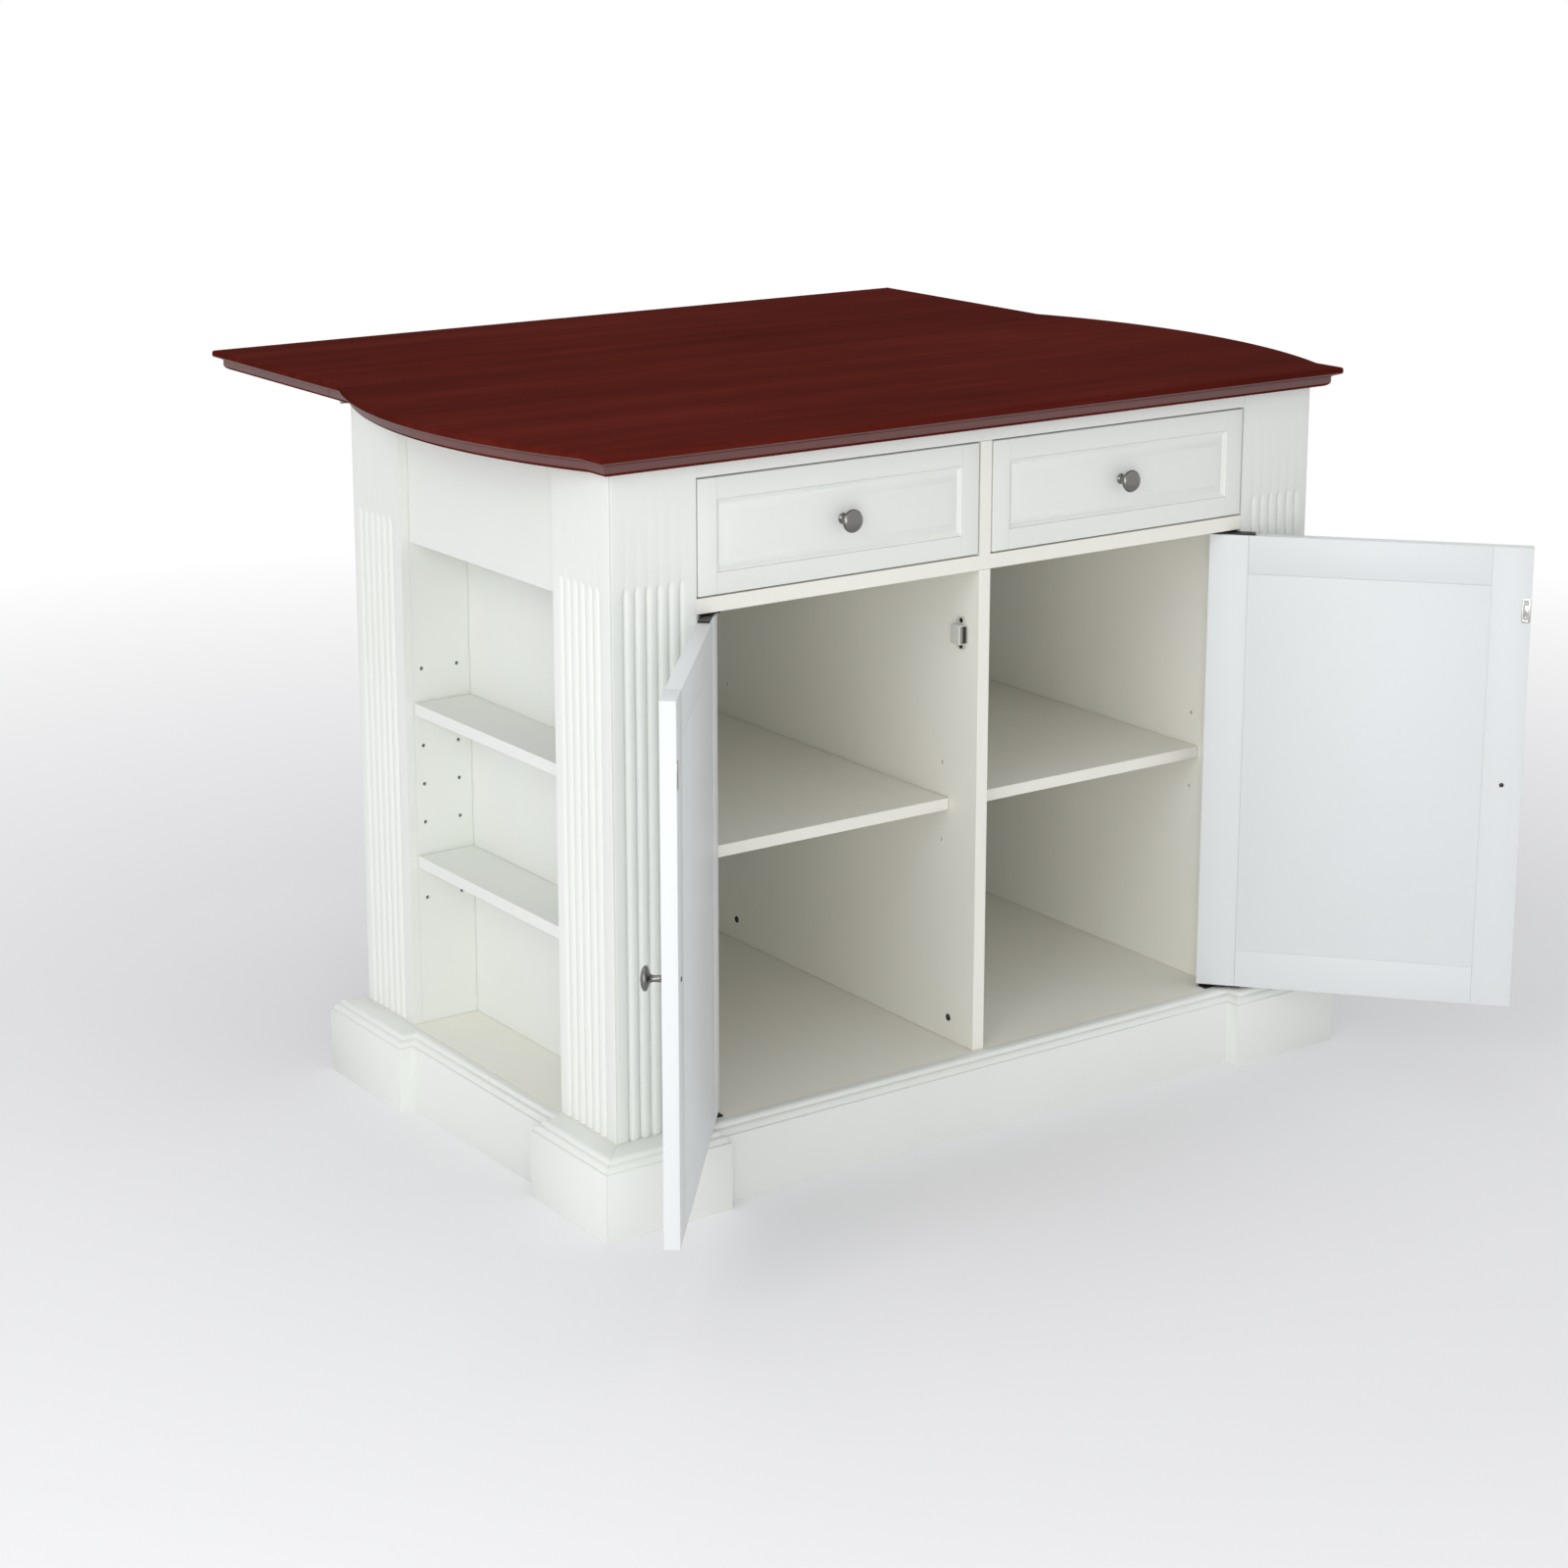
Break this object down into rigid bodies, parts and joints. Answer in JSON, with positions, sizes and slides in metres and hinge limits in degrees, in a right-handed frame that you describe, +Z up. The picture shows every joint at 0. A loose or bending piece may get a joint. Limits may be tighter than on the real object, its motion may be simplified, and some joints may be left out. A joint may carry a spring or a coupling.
{
  "type": "drop leaf kitchen island",
  "caption": "White painted kitchen island with a bowed dark wood top, a folding rear leaf, reeded corner posts, drawers over open doors and shelf bays at both ends.",
  "frame": {"origin": "on the floor under the middle of the plinth, on the underside of the plinth's centre rail", "axes": "+X to the right along the front as seen by someone facing the doors, +Y to the back and the folding leaf, +Z up"},
  "size_m": [1.3361, 1.2374, 0.914],
  "materials": {
    "white_paint": "warm white satin paint over board",
    "stained_wood": "dark red-brown mahogany stain under satin lacquer",
    "raw_board": "unpainted pale board, clear sealed",
    "nickel": "polished nickel plate",
    "hinge_steel": "dull zinc-plated steel",
    "dark_steel": "black oxide steel",
    "catch_plastic": "off-white moulded catch body with a steel face"
  },
  "bodies": {
    "cabinet": {"main_top": "stained_wood", "leaf_hinge_case_plate": "hinge_steel", "plinth_front": "white_paint", "plinth_back": "white_paint", "plinth_left": "white_paint", "plinth_right": "white_paint", "plinth_centre_rail": "raw_board", "bottom_panel": "white_paint", "divider_panel": "white_paint", "back_panel": "white_paint", "drawer_deck": "white_paint", "apron_frame": "white_paint", "corner_post_front_left": "white_paint", "bay_cheek_front_left": "white_paint", "corner_post_front_right": "white_paint", "bay_cheek_front_right": "white_paint", "corner_post_rear_left": "white_paint", "bay_cheek_rear_left": "white_paint", "corner_post_rear_right": "white_paint", "bay_cheek_rear_right": "white_paint", "end_partition_left": "white_paint", "bay_back_left": "white_paint", "cupboard_shelf_left": "white_paint", "bay_shelf_lower_left": "white_paint", "bay_shelf_upper_left": "white_paint", "door_catch_left": "catch_plastic", "stay_bracket_left": "dark_steel", "hinge_case_leaf_top_left": "dark_steel", "hinge_case_leaf_bottom_left": "dark_steel", "end_partition_right": "white_paint", "bay_back_right": "white_paint", "cupboard_shelf_right": "white_paint", "bay_shelf_lower_right": "white_paint", "bay_shelf_upper_right": "white_paint", "door_catch_right": "catch_plastic", "stay_bracket_right": "dark_steel", "hinge_case_leaf_top_right": "dark_steel", "hinge_case_leaf_bottom_right": "dark_steel"},
    "door_left": {"door_frame_left": "white_paint", "door_panel_left": "white_paint", "door_knob_left": "nickel", "hinge_door_leaf_top_left": "dark_steel", "hinge_door_leaf_bottom_left": "dark_steel"},
    "door_right": {"door_frame_right": "white_paint", "door_panel_right": "white_paint", "door_knob_right": "nickel", "hinge_door_leaf_top_right": "dark_steel", "hinge_door_leaf_bottom_right": "dark_steel"},
    "drawer_left": {"drawer_front_left": "white_paint", "drawer_box_left": "raw_board", "drawer_knob_left": "nickel"},
    "drawer_right": {"drawer_front_right": "white_paint", "drawer_box_right": "raw_board", "drawer_knob_right": "nickel"},
    "leaf": {"drop_leaf": "stained_wood", "leaf_hinge_leaf_plate": "hinge_steel", "stay_track_left": "dark_steel", "stay_track_right": "dark_steel"},
    "stay_left": {"stay_arm_left": "dark_steel"},
    "stay_right": {"stay_arm_right": "dark_steel"}
  },
  "joints": [
    {"name": "door_left_hinge", "type": "hinge", "parent": "cabinet", "child": "door_left", "pos_m": [-0.3985, -0.2885, 0.406], "axis": [0, 0, -1], "range_deg": [-130, 3]},
    {"name": "door_right_hinge", "type": "hinge", "parent": "cabinet", "child": "door_right", "pos_m": [0.3985, -0.2885, 0.406], "axis": [0, 0, 1], "range_deg": [-132, 1]},
    {"name": "drawer_left_slide", "type": "slide", "parent": "cabinet", "child": "drawer_left", "axis": [0, -1, 0], "range_m": [0, 0.32]},
    {"name": "drawer_right_slide", "type": "slide", "parent": "cabinet", "child": "drawer_right", "axis": [0, -1, 0], "range_m": [0, 0.32]},
    {"name": "leaf_hinge", "type": "hinge", "parent": "cabinet", "child": "leaf", "pos_m": [0, 0.3325, 0.885], "axis": [1, 0, 0], "range_deg": [-90, 0]},
    {"name": "stay_left_pivot", "type": "hinge", "parent": "cabinet", "child": "stay_left", "pos_m": [-0.33, 0.32, 0.7595], "axis": [1, 0, 0], "range_deg": [-135, 0]},
    {"name": "stay_right_pivot", "type": "hinge", "parent": "cabinet", "child": "stay_right", "pos_m": [0.33, 0.32, 0.7595], "axis": [1, 0, 0], "range_deg": [-135, 0]}
  ],
  "couplings": [
    {"joint": "stay_left_pivot", "follows": "leaf_hinge", "ratio": 1.5},
    {"joint": "stay_right_pivot", "follows": "leaf_hinge", "ratio": 1.5}
  ]
}
